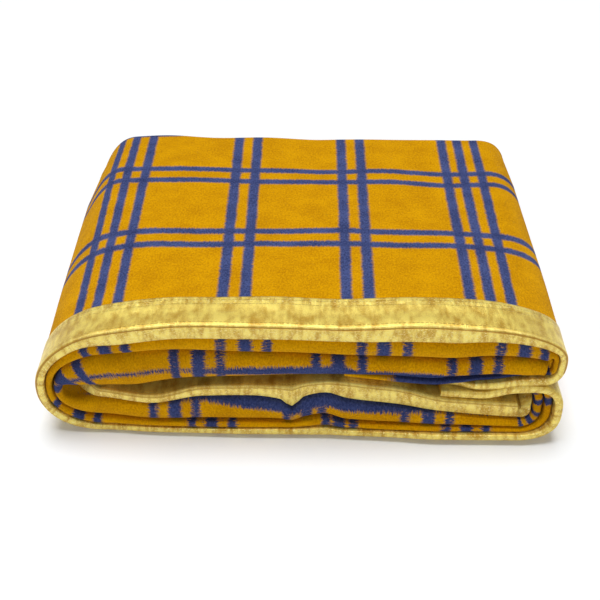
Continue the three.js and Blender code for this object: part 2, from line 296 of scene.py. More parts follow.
def inner_point(at):
    """Inner side of the strip at the same place."""
    part = min(int(at), LOWER_FLAP)
    t = at - part
    turn = mix(-90, 90, t)
    x = outer_point(at)[0]
    if part == UPPER_FLAP:
        return x, mix(UPPER_FLAP_TOP - UPPER_TIP_DROP, UPPER_FLAP_TOP, ease(min(1, 2 * t)))
    if part == UPPER_TURN:
        return inner_turn(UPPER_TURN_X, UPPER_FLAP_TOP, table_value(TOP_INNER, UPPER_TURN_X), 1, turn)
    if part == TOP_RUN:
        return x, table_value(TOP_INNER, x)
    if part == LEFT_TURN:
        if t < TURN_START:
            last = outer_point(LEFT_TURN + TURN_START)[0]
            x = mix(LEFT_TOP_TURN_X, INNER_LEFT_X, (LEFT_TOP_TURN_X - x) / (LEFT_TOP_TURN_X - last))
            return x, table_value(TOP_INNER, x)
        if t < TURN_END:
            share = (t - TURN_START) / (TURN_END - TURN_START)
            return inner_turn(INNER_LEFT_X, table_value(BOTTOM_INNER, INNER_LEFT_X),
                              table_value(TOP_INNER, INNER_LEFT_X), -1, mix(90, -90, share))
        x = mix(INNER_LEFT_X, LEFT_BOTTOM_TURN_X, (t - TURN_END) / (1 - TURN_END))
        return x, table_value(BOTTOM_INNER, x)
    if part == BOTTOM_RUN:
        return x, table_value(BOTTOM_INNER, x)
    if part == LOWER_TURN:
        return inner_turn(LOWER_TURN_X, table_value(BOTTOM_INNER, LOWER_TURN_X),
                          table_value(LOWER_FLAP_INNER, LOWER_TURN_X), 1, turn)
    return x, table_value(LOWER_FLAP_INNER, x)


class Place:
    """One place along the strip: its two sides, thickness, cloth and front edges."""

    def __init__(self, at):
        self.at = at
        self.outer = np.array(outer_point(at))
        self.inner = np.array(inner_point(at))
        self.total = float(np.hypot(*(self.inner - self.outer)))
        self.filled = SATIN_SIDES * SKIN
        room = self.total - self.filled - (LAYERS - 1) * LAYER_GAP
        self.cloth = min(CLOTH, room / LAYERS)
        keys = [row[0] for row in FRONT]
        values = [float(smooth_curve(keys, [row[c] for row in FRONT], at)) for c in range(1, 9)]
        self.ends = values[:4]
        self.backs = values[4:]
        self.plump = table_value(PLUMP, at)

    def band_level(self, layer):
        """Middle of a layer behind the front edges, with room for the bindings."""
        spare = self.total - self.filled - LAYERS * self.cloth
        step = self.cloth + spare / (LAYERS - 1)
        before = SKIN if layer == 0 else 2 * SKIN
        here = SKIN if layer == LAYERS - 1 else 0
        return before + here + self.cloth / 2 + layer * step

    def body_level(self, layer):
        """Middle of a layer further back, where there is cotton alone."""
        half = self.cloth / 2
        return mix(half, self.total - half, layer / (LAYERS - 1))


def puff(back):
    """How much of its puffed front shape a fold keeps: none when it lies far back."""
    return min(1.0, max(0.0, (FAR_BACK - back) / PUFF_STRETCH))


def bound_edge(place, layer, start, end, back):
    """Middle line of a bound edge: y, distance from the outer side, half thickness, steps."""
    level = place.band_level(layer)
    flat = place.cloth / 2
    full = max((end - start) / 2 - SKIN, TIP_LEAST_HALF)
    middle = mix(level, (start + end) / 2, puff(back))
    half = mix(flat, full, puff(back))
    tip = back + SKIN
    nose_end = max(NOSE_DEPTH, tip + half + 1)
    settled = max(BAND_DEPTH, nose_end + 2)
    line = [(tip + far * half, middle, share * half, steps) for far, share, steps in TIP_PROFILE]
    return line + [
        (nose_end, middle, mix(half, TIP_WAIST * half, puff(back)), 5),
        (settled, level, flat, 2),
        (max(BINDING_WIDTH + back, settled + BINDING_PAST_BAND), level, flat, 4),
    ]


def front_roll(place, layer, start, end, back):
    """Front roll that joins two layers: along one, round the nose and back on the other."""
    flat = place.cloth / 2
    levels = [place.band_level(layer), place.band_level(layer + 1)]
    gap = min(ROLL_GAP, (end - start) / 10)
    half = mix(flat, min(ROLL_THINNING * flat, (end - start) / 4 - gap), puff(back))
    top = mix(levels[0], start + gap + half, puff(back))
    bottom = mix(levels[1], end - gap - half, puff(back))
    rise = (bottom - top) / 2
    middle = (top + bottom) / 2
    # The nose of a tall roll is flatter than a half circle
    reach = min(rise, 0.5 * rise + 2.0)
    nose_y = back + half + reach
    nose_end = max(NOSE_DEPTH, nose_y + 1)
    settled = max(BAND_DEPTH, nose_end + 2)
    line = [(BAND_END, levels[0], flat, 2), (settled, levels[0], flat, 3), (nose_end, top, half, 2)]
    for degrees in range(-90, 91, 30):
        angle = math.radians(degrees)
        line.append((nose_y - reach * math.cos(angle), middle + rise * math.sin(angle), half, 2))
    line.append((nose_end, bottom, half, 3))
    line.append((settled, levels[1], flat, 2))
    line.append((BAND_END, levels[1], flat, 2))
    return line


def back_fold(place, layer, back):
    """Fold at the back that joins two layers."""
    half = place.cloth / 2
    levels = [place.body_level(layer), place.body_level(layer + 1)]
    rise = (levels[1] - levels[0]) / 2
    middle = (levels[0] + levels[1]) / 2
    reach = min(rise, BACK_REACH)
    nose_y = DEPTH - back - half - reach
    line = [(BODY_DEPTH, levels[0], half, 4), (nose_y - BACK_NOSE, levels[0], half, 2)]
    for degrees in range(-90, 91, 30):
        angle = math.radians(degrees)
        line.append((nose_y + reach * math.cos(angle), middle + rise * math.sin(angle), half, 1))
    line.append((nose_y - BACK_NOSE, levels[1], half, 3))
    line.append((BODY_DEPTH, levels[1], half, 2))
    return line


def reversed_line(line):
    """The same points backwards, each interval keeping its number of steps."""
    points = [row[:3] for row in line][::-1]
    steps = [row[3] for row in line[:-1]][::-1] + [3]
    return [(*point, step) for point, step in zip(points, steps)]


def pleat_line(place):
    """Middle line of the whole pleated cloth in one section."""
    ends = place.ends
    backs = place.backs
    inner_start = min(ends[3], place.total - INNER_TIP_ROOM)
    return (
        bound_edge(place, 0, 0, ends[0], backs[0])
        + back_fold(place, 0, BACK_FOLDS[0])
        + front_roll(place, 1, ends[0], ends[1], backs[1])
        + back_fold(place, 2, BACK_FOLDS[1])
        + front_roll(place, 3, ends[1], ends[2], backs[2])
        + back_fold(place, 4, BACK_FOLDS[2])
        + reversed_line(bound_edge(place, 5, inner_start, place.total + place.plump, backs[3]))
    )


def fine_line(line):
    """The middle line read at many more points, with its length and half thickness."""
    points = np.array([row[:3] for row in line])
    run = np.concatenate([[0], np.cumsum(np.hypot(*np.diff(points[:, :2], axis=0).T))])
    at = []
    for i, row in enumerate(line[:-1]):
        at.extend(mix(run[i], run[i + 1], np.arange(row[3]) / row[3]))
    at.append(run[-1])
    at = np.array(at)
    return at, np.column_stack([smooth_curve(run, points[:, c], at) for c in range(3)])


def side_normals(points):
    """Unit normals of a line in a section, to its right."""
    along = np.gradient(points, axis=0)
    along /= np.linalg.norm(along, axis=1, keepdims=True)
    return np.column_stack([-along[:, 1], along[:, 0]])


# How the whole stack departs from the even folds, in mm. What changes towards the back
# starts this far from the front and is full over this length
BACK_START = 20.0
BACK_LENGTH = 260.0

# The sides draw in towards the back, and so do the back corners
SIDE_SHARPNESS = 8
LEFT_TAPER = 9.0
RIGHT_TAPER = -14.0
CORNER_START_Y = 95.0
CORNER_LENGTH = 80.0
CORNER_INSET = 4.5

# The back is lifted to an even top, except low down and less so at the sides
STILL_HEIGHT = 25.0
FULL_LIFT = 0.95
SIDE_LIFT = 0.2
LIFT_FADE_X = 205.0
LIFT_FADE_LENGTH = 58.0

# The top settles a little, rises at the back, and swells: height, middle x and half width
SETTLED = 1.2
BACK_RISE = 2.0
CREST_LEFT = (3.0, -165, 45)
CREST_RIGHT = (-4.0, 165, 60)

# Waves: height, length along x, length along y or z, and shift
SWELLS = ((0.7, 29, -47, 0.4), (0.5, 17, 39, 0.0))
SWAYS = ((0.9, 74, 31, 0.0), (0.6, 31, 17, 1.0))
STEADY_HEIGHT = 20.0

# Broad swell: height, then length and shift along x and along y
BROAD_SWELL = (1.1, 61, 0.8, 83, 1.9)

# The bottom front edge curls up and forward
CURL_DEPTH = 40.0
CURL_HEIGHT = 25.0
CURL_UP = 5.5
CURL_FORWARD = 4.5
CURL_MOST = 1.15


def waves(table, a, b):
    return sum(size * np.sin(a / a_length + b / b_length + shift)
               for size, a_length, b_length, shift in table)


def broad_swell(x, y, size, x_length, x_shift, y_length, y_shift):
    return size * np.sin(x / x_length + x_shift) * np.sin(y / y_length + y_shift)


def hump(x, height, middle, half):
    return height * np.exp(-((x - middle) / half) ** 2)


def warp(points):
    """Uneven lie of the whole stack, the same for every piece."""
    x, y, z = points[..., 0], points[..., 1], points[..., 2]
    out = points.copy()
    high = np.clip(z / HEIGHT, 0, 1)
    back = ease(np.clip((y - FRONT_Y - BACK_START) / BACK_LENGTH, 0, 1))

    # The sides and the back corners
    side = np.clip(np.abs(x) / RIGHT_EDGE, 0, 1) ** SIDE_SHARPNESS
    corner = ease(np.clip((y - CORNER_START_Y) / CORNER_LENGTH, 0, 1))
    out[..., 0] += np.where(x < 0, LEFT_TAPER, RIGHT_TAPER) * side * high * back
    out[..., 0] -= np.sign(x) * CORNER_INSET * side * corner

    # The fuller back
    top = np.interp(x, top_x, top_z)
    under_top = np.clip((z - STILL_HEIGHT) / np.maximum(top - STILL_HEIGHT, STILL_HEIGHT), 0, 1)
    fade = ease(np.clip((np.abs(x) - LIFT_FADE_X) / LIFT_FADE_LENGTH, 0, 1))
    out[..., 2] += mix(FULL_LIFT, SIDE_LIFT, fade) * (HEIGHT - top) * under_top * back

    # Gentle swells of the top and sway of the front
    swell = waves(SWELLS, x, y) + broad_swell(x, y, *BROAD_SWELL)
    crest = hump(x, *CREST_LEFT) + hump(x, *CREST_RIGHT)
    out[..., 2] += (swell - SETTLED + (BACK_RISE + crest) * back) * high
    out[..., 1] += waves(SWAYS, x, z) * np.clip(z / STEADY_HEIGHT, 0, 1)

    # The curl of the bottom front edge, stronger the further forward it lies
    forward = np.clip(1 - (y - FRONT_Y) / CURL_DEPTH, 0, CURL_MOST)
    curl = forward ** 2 * np.clip(1 - z / CURL_HEIGHT, 0, 1)
    out[..., 2] += CURL_UP * curl
    out[..., 1] -= CURL_FORWARD * curl
    return out


def in_space(place, section):
    """Points of a section put in their place: depth and level turned into x, y and z."""
    level = section[:, 1:2]
    # Beyond the pivot of the upper turn, points drop straight down
    if UPPER_TURN < place.at < TOP_RUN:
        level = np.minimum(level, place.total)
    xz = mix(place.outer, place.inner, level / place.total)
    xz[:, 1:2] -= section[:, 1:2] - level
    return np.column_stack([xz[:, 0], section[:, 0] + FRONT_Y, xz[:, 1]])


# Steps along the strip: at most this long in mm or turning this many degrees, where a kink
# between two trial places counts for no more than its limit
LONGEST_STEP = 5.6
SHARPEST_STEP = 10.0
SHARPEST_KINK = 8.0
TRIAL_PLACES = 7001


def spaced_places():
    """Parameters along the strip at even steps of length and turning together."""
    at = np.linspace(0, LOWER_FLAP + 1, TRIAL_PLACES)
    steps = np.diff(np.array([outer_point(value) for value in at]), axis=0)
    length = np.hypot(steps[:, 0], steps[:, 1])
    moving = length > 1e-6
    at = np.append(at[:-1][moving], at[-1])
    direction = np.degrees(np.unwrap(np.arctan2(steps[moving, 1], steps[moving, 0])))
    turning = np.abs(np.diff(direction, prepend=direction[0]))
    turned = np.minimum(turning, SHARPEST_KINK) / SHARPEST_STEP
    measure = np.cumsum(length[moving] / LONGEST_STEP + turned)
    measure = np.concatenate([[0], measure])
    return np.interp(np.linspace(0, measure[-1], int(measure[-1]) + 1), measure, at)


places = [Place(float(at)) for at in spaced_places()]

# Height of the top along x, for the warp
upper = [place.outer for place in places if UPPER_TURN + 0.55 < place.at < LEFT_TURN + 0.45]
top_x = np.array([point[0] for point in upper])[::-1]
top_z = np.array([point[1] for point in upper])[::-1]

# Length along the outer side, zero at the middle of the top and growing to the left turn
outer_xz = np.array([place.outer for place in places])
path = np.concatenate([[0], np.cumsum(np.linalg.norm(np.diff(outer_xz, axis=0), axis=1))])
zero_at = TOP_RUN + UPPER_TURN_X / (UPPER_TURN_X - LEFT_TOP_TURN_X)
path -= np.interp(zero_at, [place.at for place in places], path)


def path_at(part_low, part_high, x):
    """Length along the strip at an x in one of its parts."""
    picked = [(place.outer[0], length) for place, length in zip(places, path)
              if part_low <= place.at <= part_high]
    picked.sort()
    return float(np.interp(x, [p[0] for p in picked], [p[1] for p in picked]))


# The check. A stripe is a middle and a half width, along the strip or across it.
# Far outside every stripe, the distance inside one is this
OUTSIDE = -99.0
STRIPE_HALF = 5.6
WIDE_HALF = 6.4
THIN_HALF = 4.4
CROSS_HALF = 4.8
PAIR = 22.0
CROSS_PAIR = 22.6
TRIPLE = 20.0
GROUP_SPACING = 124.0


def group(middle, kind):
    """Stripes of a group of two or three round its middle."""
    if kind == 2:
        return [(middle - PAIR / 2, STRIPE_HALF), (middle + PAIR / 2, STRIPE_HALF)]
    return [(middle - TRIPLE, STRIPE_HALF), (middle, STRIPE_HALF), (middle + TRIPLE, STRIPE_HALF)]


# Face of the cloth: groups of three and two along the strip, then more at the same spacing
RIGHT_TRIPLE = [path_at(TOP_RUN, LEFT_TURN, x) for x in (161.6, 181.2, 202.3)]
LEFT_TRIPLE = [path_at(LEFT_TURN, LEFT_TURN + 0.5, x) for x in (-182, -203.5, -223)]
FACE_STRIPES = [(middle, STRIPE_HALF) for middle in RIGHT_TRIPLE + LEFT_TRIPLE]
FACE_STRIPES += group(-52.5, 2) + group(68.0, 2)
for number in range(1, 6):
    kind = 3 if number % 3 == 0 else 2
    FACE_STRIPES += group(LEFT_TRIPLE[1] + GROUP_SPACING * number, kind)
    FACE_STRIPES += group(RIGHT_TRIPLE[1] - GROUP_SPACING * number, kind)
CROSS_FIRST = 140.6
CROSS_SPACING = 118.0
CREST_SLANT = 21.0
CREST_START = path_at(TOP_RUN, LEFT_TURN + 0.4, -95)

# Reverse of the cloth where the rolls show it: x of each stripe at the front, in threes
FIRST_TOP = [(-211, -191, -171), (-79, -56, -34.5), (55.5, 77, 100), (189, 212, 231)]
SECOND_TOP = [(-255, -234, -214), (-125, -102, -80.5), (12, 34, 57), (144, 167, 188.5)]
FIRST_BOTTOM = [(-249, -229, -210), (-113, -93, -72), (23, 37, 51), (144, 165, 185)]
SECOND_BOTTOM = [(-151, -129, -108), (-16, 3, 19), (102, 126, 147), (219, 229, 236)]

# Stripes of the bottom rolls are narrower to the right of this x, in the lower turn
SQUEEZED_X = 215
SQUEEZED_SHARE = 0.5

# Stripes keep their seen width where a roll bends more tightly than the strip's outer side,
# within these limits
STRETCH_RANGE = (0.9, 2.2)

# Length at which the top of the strip gives way to its bottom
LEFT_SIDE = float(np.interp(LEFT_TURN + 0.55, [place.at for place in places], path))


def roll_stripes(groups, roll, low, high):
    """Stripes on a front roll, turned from their x into lengths along the strip."""
    seen = []
    lengths = []
    for place, length in zip(places, path):
        if low <= place.at <= high:
            share = (place.ends[roll] + place.ends[roll + 1]) / 2 / place.total
            seen.append(mix(place.outer, place.inner, share))
            lengths.append(length)
    seen = np.array(seen)
    lengths = np.array(lengths)
    own = np.linalg.norm(np.gradient(seen, axis=0), axis=1)
    stretch = np.clip(np.gradient(lengths) / np.maximum(own, 0.1), *STRETCH_RANGE)
    order = np.argsort(seen[:, 0])
    stripes = []
    for three in groups:
        for x, half in zip(three, (THIN_HALF, WIDE_HALF, THIN_HALF)):
            middle = float(np.interp(x, seen[order, 0], lengths[order]))
            wider = float(np.interp(x, seen[order, 0], stretch[order]))
            squeezed = SQUEEZED_SHARE if low > LEFT_TURN and x > SQUEEZED_X else 1.0
            stripes.append((middle, half * wider * squeezed))
    return stripes


ROLL_STRIPES = {
    ("first", "top"): roll_stripes(FIRST_TOP, 0, UPPER_TURN + 0.6, LEFT_TURN + 0.5),
    ("second", "top"): roll_stripes(SECOND_TOP, 1, UPPER_TURN + 0.6, LEFT_TURN + 0.5),
    ("first", "bottom"): roll_stripes(FIRST_BOTTOM, 0, LEFT_TURN + 0.6, LOWER_TURN + 0.4),
    ("second", "bottom"): roll_stripes(SECOND_BOTTOM, 1, LEFT_TURN + 0.6, LOWER_TURN + 0.4),
}

# More stripes inside the flaps, where little of the rolls shows
for run_name, first, spacing in (("top", -330.0, -62.0), ("bottom", 905.0, 62.0)):
    for number in range(3):
        middle = first + spacing * number
        for roll in ("first", "second"):
            ROLL_STRIPES[(roll, run_name)] += [(middle, WIDE_HALF), (middle + PAIR, THIN_HALF)]

# The navy edge of the upper flap: half width, and where it thins out to the left
FLAP_STRIPE_HALF = 6.0
FLAP_STRIPE_X = 112.0
FLAP_STRIPE_FADE = 0.25

# Cross stripe on the second roll, as distance round its nose: x, start, end
SECOND_TOP_CROSS = [(-240, -2, 3), (-150, -1.5, 3), (-100, 0, 6), (-50, -2, 9), (0, -2, 10),
                    (35, -4, 11.5), (60, 2, 11), (120, 2.5, 11), (190, 9, 12), (250, 9, 12)]
SECOND_BOTTOM_CROSS = [(-240, 14, 18), (-150, 12, 16), (-100, 10, 17), (-50, 3, 19), (0, 1, 19),
                       (40, 2, 18), (100, 5, 16), (150, 8, 14), (250, 8, 12)]


def inside(value, stripes):
    """Distance inside the nearest stripe; negative outside every stripe."""
    best = np.full(np.shape(value), OUTSIDE)
    for middle, half in stripes:
        best = np.maximum(best, half - np.abs(value - middle))
    return best


# Points in the lines of a bound edge, a back fold and a front roll, and half a roll
EDGE_ROWS = 6
FOLD_ROWS = 11
ROLL_ROWS = 13
HALF_ROLL = 6
FIRST_NOSE = EDGE_ROWS + FOLD_ROWS + HALF_ROLL
SECOND_NOSE = FIRST_NOSE + ROLL_ROWS + FOLD_ROWS

# Near the back at the left the stripes across the face slant. It starts this far along the fold
# and grows over a length of the fold and a length of the strip
SLANT_START = 290.0
SLANT_LENGTH = 50.0
CREST_LENGTH = 70.0


def both_sides(line):
    """The two sides of a middle line, each at half the thickness from it."""
    normals = side_normals(line[:, :2])
    return line[:, :2] - normals * line[:, 2:3], line[:, :2] + normals * line[:, 2:3]


def roll_check(place, length, run, noses):
    """Distances inside the stripes on the reverse, along the strip and across it."""
    run_name = "top" if length < LEFT_SIDE else "bottom"
    from_first = run - noses[0]
    from_second = run - noses[1]
    is_first = np.abs(from_first) < np.abs(from_second)
    along_first = float(inside(length, ROLL_STRIPES[("first", run_name)]))
    along_second = float(inside(length, ROLL_STRIPES[("second", run_name)]))
    along = np.where(is_first, along_first, along_second)
    if place.at < UPPER_TURN:
        faded = FLAP_STRIPE_FADE * max(0.0, FLAP_STRIPE_X - place.outer[0])
        return along, np.full(len(run), FLAP_STRIPE_HALF - faded)
    table = SECOND_TOP_CROSS if run_name == "top" else SECOND_BOTTOM_CROSS
    start = table_value(table, place.outer[0], 1)
    end = table_value(table, place.outer[0], 2)
    within = (end - start) / 2 - np.abs(from_second - (start + end) / 2)
    return along, np.where(is_first, OUTSIDE, within)


def blanket_rings():
    """Points, sheet places and stripe distances for every section, and the middle lines."""
    rings = []
    sheets = []
    stripes_along = []
    stripes_across = []
    lines = []
    for place, length in zip(places, path):
        control = pleat_line(place)
        run, line = fine_line(control)
        starts = np.concatenate([[0], np.cumsum([row[3] for row in control[:-1]])])
        noses = (run[starts[FIRST_NOSE]], run[starts[SECOND_NOSE]])
        face, reverse = both_sides(line)
        lines.append(line)
        rings.append(in_space(place, np.vstack([face, reverse[::-1]])))
        slant = CREST_SLANT * ease(np.clip((length - CREST_START) / CREST_LENGTH, 0, 1))
        face_run = run + slant * ease(np.clip((run - SLANT_START) / SLANT_LENGTH, 0, 1))
        face_along = np.full(len(run), float(inside(length, FACE_STRIPES)))
        face_across = np.full(len(run), OUTSIDE)
        back_along, back_across = roll_check(place, length, run, noses)
        sheets.append(np.column_stack([
            np.full(2 * len(run), length),
            np.concatenate([face_run, run[::-1]]),
            np.concatenate([np.zeros(len(run)), np.ones(len(run))]),
        ]))
        stripes_along.append(np.concatenate([face_along, back_along[::-1]]))
        stripes_across.append(np.concatenate([face_across, back_across[::-1]]))
    check = {
        "sheet": np.array(sheets),
        "stripe_along": np.array(stripes_along),
        "stripe_across": np.array(stripes_across),
    }
    return np.array(rings), check, lines


def linked(name, data):
    """New object in the scene."""
    thing = bpy.data.objects.new(name, data)
    bpy.context.collection.objects.link(thing)
    return thing


def face_outward(mesh):
    """Turn the faces round if they look inward."""
    work = bmesh.new()
    work.from_mesh(mesh)
    if work.calc_volume(signed=True) < 0:
        bmesh.ops.reverse_faces(work, faces=work.faces)
    work.to_mesh(mesh)
    work.free()


def swept_mesh(name, rings, attributes):
    """Closed mesh through all the rings, with flat ends and point attributes."""
    count, around = rings.shape[:2]
    points = warp(rings).reshape(-1, 3) * MM
    ring = np.arange(count - 1)[:, None] * around
    i = np.arange(around)[None, :]
    j = (i + 1) % around
    quads = np.stack([ring + i, ring + j, ring + around + j, ring + around + i], axis=-1).reshape(-1, 4)
    k = np.arange(around // 2 - 1)
    first = np.stack([k, around - 1 - k, around - 2 - k, k + 1], axis=-1)
    last = first[:, ::-1] + (count - 1) * around
    quads = np.vstack([quads, first, last])
    mesh = bpy.data.meshes.new(name)
    mesh.from_pydata(points.tolist(), [], quads.tolist())
    for key, values in attributes.items():
        flat = np.asarray(values, dtype=np.float32)
        kind = "FLOAT_VECTOR" if flat.ndim == 3 else "FLOAT"
        layer = mesh.attributes.new(key, kind, "POINT")
        layer.data.foreach_set("vector" if kind == "FLOAT_VECTOR" else "value", flat.reshape(-1))
    mesh.validate()
    face_outward(mesh)
    mesh.polygons.foreach_set("use_smooth", [True] * len(mesh.polygons))
    return linked(name, mesh)


cloth_rings, cloth_check, middle_lines = blanket_rings()
blanket = swept_mesh("cotton_blanket", cloth_rings, cloth_check)

# The two bindings, wrapped round the first and the last points of the cloth
EDGE_POINTS = 16

# How strongly the crease over the front shows, in its groove, its painted shade and the painted
# highlight on its ridge: on top, elsewhere, and on the wavy edge
TOP_CREASE = 1.0
OTHER_CREASE = 0.15
WAVY_CREASE = 0.7


def edge_wrap(line, which):
    """Line round one edge of the cloth."""
    first, second = both_sides(line)
    if which == "outer":
        return np.vstack([first[:EDGE_POINTS][::-1], second[:EDGE_POINTS]])
    return np.vstack([first[-EDGE_POINTS:], second[-EDGE_POINTS:][::-1]])


def crease_strength(place, which):
    """How strongly a binding's crease shows at a place, in its groove, painted shade and painted ridge
    highlight.
    """
    if which == "inner":
        return WAVY_CREASE
    on_top = UPPER_TURN + 0.4 < place.at < LEFT_TURN + 0.6
    return TOP_CREASE if on_top else OTHER_CREASE


def binding(name, which):
    """Satin channel round one edge, following the cloth inside it."""
    rings = []
    from_corner = []
    from_edge = []
    creased = []
    outward = 1 if which == "outer" else -1
    for place, line in zip(places, middle_lines):
        wrap = edge_wrap(line, which)
        width = np.concatenate([[0], np.cumsum(np.linalg.norm(np.diff(wrap, axis=0), axis=1))])
        # The corner and the free edge on the side of the wrap that shows
        before = EDGE_POINTS - 1
        after = EDGE_POINTS
        seen_first = (wrap[before, 1] < wrap[after, 1]) == (which == "outer")
        corner, direction, start = (before, 1, 0) if seen_first else (after, -1, width[-1])
        signed = (width - width[corner]) * direction
        free = np.abs(width - start)
        normal = side_normals(wrap) * outward
        under = wrap + normal * PIECE_GAP
        over = wrap + normal * SKIN
        rings.append(in_space(place, np.vstack([under, over[::-1]])))
        from_corner.append(np.concatenate([signed, signed[::-1]]))
        from_edge.append(np.concatenate([free, free[::-1]]))
        creased.append(np.full(2 * len(wrap), crease_strength(place, which)))
    rings = np.array(rings)
    front = rings[:, EDGE_POINTS]
    length = np.concatenate([[0], np.cumsum(np.linalg.norm(np.diff(front, axis=0), axis=1))])
    return swept_mesh(name, rings, {
        "from_corner": np.array(from_corner),
        "from_edge": np.array(from_edge),
        "creased": np.array(creased),
        "along": np.repeat(length[:, None], rings.shape[1], axis=1),
    })


binding_outer = binding("satin_binding_outer", "outer")
binding_inner = binding("satin_binding_inner", "inner")

# Colours as a screen shows them, from the darker to the lighter tone
MUSTARD = ("#C08300", "#E7A902")
NAVY = ("#2E3963", "#536096")
DARK_NAVY = ("#262F58", "#3A4578")
# The satin's lighter tone is painted sheen, standing in for light off its crinkles
GOLD_AND_SHEEN = ("#CA9E2E", "#FFE672")
# Painted glints on the satin
GLINT_GOLD = "#FFF2A6"
STITCH_GOLD = "#A37A20"
# Painted highlight along the ridge of the crease, and painted shade in the crease
RIDGE_HIGHLIGHT_GOLD = "#FFEFA0"
CREASE_SHADE_GOLD = "#B07808"


def colour(hex_code):
    """Linear colour from a screen colour."""
    values = [int(hex_code[i:i + 2], 16) / 255 for i in (1, 3, 5)]
    linear = [v / 12.92 if v <= 0.04045 else ((v + 0.055) / 1.055) ** 2.4 for v in values]
    return (*linear, 1.0)


class Shading:
    """A new material, with short names for the nodes that it needs."""

    def __init__(self, name):
        self.material = bpy.data.materials.new(name)
        self.material.use_nodes = True
        self.nodes = self.material.node_tree.nodes
        self.links = self.material.node_tree.links
        self.shader = self.nodes["Principled BSDF"]

    def feed(self, socket, value):
        """Give a socket a screen colour, a plain value or the output of another node."""
        if isinstance(value, str):
            socket.default_value = colour(value)
        elif isinstance(value, (int, float, tuple)):
            socket.default_value = value
        else:
            self.links.new(value, socket)

    def surface(self, name, value):
        self.feed(self.shader.inputs[name], value)

    def calculate(self, operation, a, b=None):
        node = self.nodes.new("ShaderNodeMath")
        node.operation = operation
        self.feed(node.inputs[0], a)
        if b is not None:
            self.feed(node.inputs[1], b)
        return node.outputs[0]

    def add(self, a, b):
        return self.calculate("ADD", a, b)

    def less(self, a, b):
        return self.calculate("SUBTRACT", a, b)

    def times(self, a, b):
        return self.calculate("MULTIPLY", a, b)

    def larger(self, a, b):
        return self.calculate("MAXIMUM", a, b)

    def apart(self, a, b):
        """How far two values are apart."""
        return self.calculate("ABSOLUTE", self.less(a, b))

    def repeated(self, value, pitch):
        return self.calculate("FLOORED_MODULO", value, pitch)

    def attribute(self, name, output="Fac"):
        node = self.nodes.new("ShaderNodeAttribute")
        node.attribute_name = name
        return node.outputs[output]

    def noise(self, vector, fineness, detail=2.0, rough=0.5):
        """Noise as fine along each axis as the fineness says."""
        stretch = self.nodes.new("ShaderNodeVectorMath")
        stretch.operation = "MULTIPLY"
        self.feed(stretch.inputs[0], vector)
        self.feed(stretch.inputs[1], fineness)
        node = self.nodes.new("ShaderNodeTexNoise")
        self.feed(node.inputs["Vector"], stretch.outputs[0])
        self.feed(node.inputs["Scale"], 1.0)
        self.feed(node.inputs["Detail"], detail)
        self.feed(node.inputs["Roughness"], rough)
        return node.outputs["Fac"]

    def shift(self, noise, reach):
        """Noise turned into a shift of up to about the reach either way."""
        return self.times(self.less(noise, 0.5), 2 * reach)

    def ramp(self, value, low, high):
        """Nothing at the low value and one at the high value, smooth between them."""
        node = self.nodes.new("ShaderNodeMapRange")
        node.interpolation_type = "SMOOTHSTEP"
        self.feed(node.inputs["Value"], value)
        self.feed(node.inputs["From Min"], low)
        self.feed(node.inputs["From Max"], high)
        return node.outputs["Result"]

    def blend(self, factor, a, b):
        """Colour between two colours."""
        node = self.nodes.new("ShaderNodeMix")
        node.data_type = "RGBA"
        self.feed(node.inputs[0], factor)
        self.feed(node.inputs[6], a)
        self.feed(node.inputs[7], b)
        return node.outputs[2]

    def bump(self, height, strength, distance):
        node = self.nodes.new("ShaderNodeBump")
        self.feed(node.inputs["Strength"], strength)
        self.feed(node.inputs["Distance"], distance)
        self.feed(node.inputs["Height"], height)
        self.surface("Normal", node.outputs["Normal"])


# Noise on the cotton: per mm along the strip, per mm across it, and its jump from face to reverse
TEETH_ALONG = (0.16, 0.85, 5.0)
TEETH_ACROSS = (0.85, 0.13, 5.0)
WOBBLE = (0.07, 0.07, 5.0)
PILE = (0.5, 0.4, 5.0)
PATCHES = (0.035, 0.045, 5.0)

# How far the nap drags fibres over the stripe edges, and how soft those edges are, in mm
TEETH_ALONG_REACH = 3.4
TEETH_ACROSS_REACH = 3.2
WOBBLE_REACH = 1.0
REVERSE_DRAG = 1.5
SOFT_ALONG = 1.7
SOFT_ACROSS = 1.8

# How much darker the navy is where two stripes cross and on the reverse
CROSSING_SHADE = 0.45
REVERSE_SHADE = 0.6

# Share of the fine pile in the cotton's shade, and the range of shade between its two tones
PILE_SHARE = 0.72
COTTON_TONES = (0.34, 0.66)


def face_pairs(cotton, run, reverse):
    """Distance inside the pairs of stripes across the face, which repeat at one spacing."""
    shifted = cotton.less(run, CROSS_FIRST - CROSS_SPACING / 2)
    from_pair = cotton.apart(cotton.repeated(shifted, CROSS_SPACING), CROSS_SPACING / 2)
    from_stripe = cotton.apart(from_pair, CROSS_PAIR / 2)
    on_both_sides = cotton.less(CROSS_HALF, from_stripe)
    return cotton.less(on_both_sides, cotton.times(reverse, -OUTSIDE))


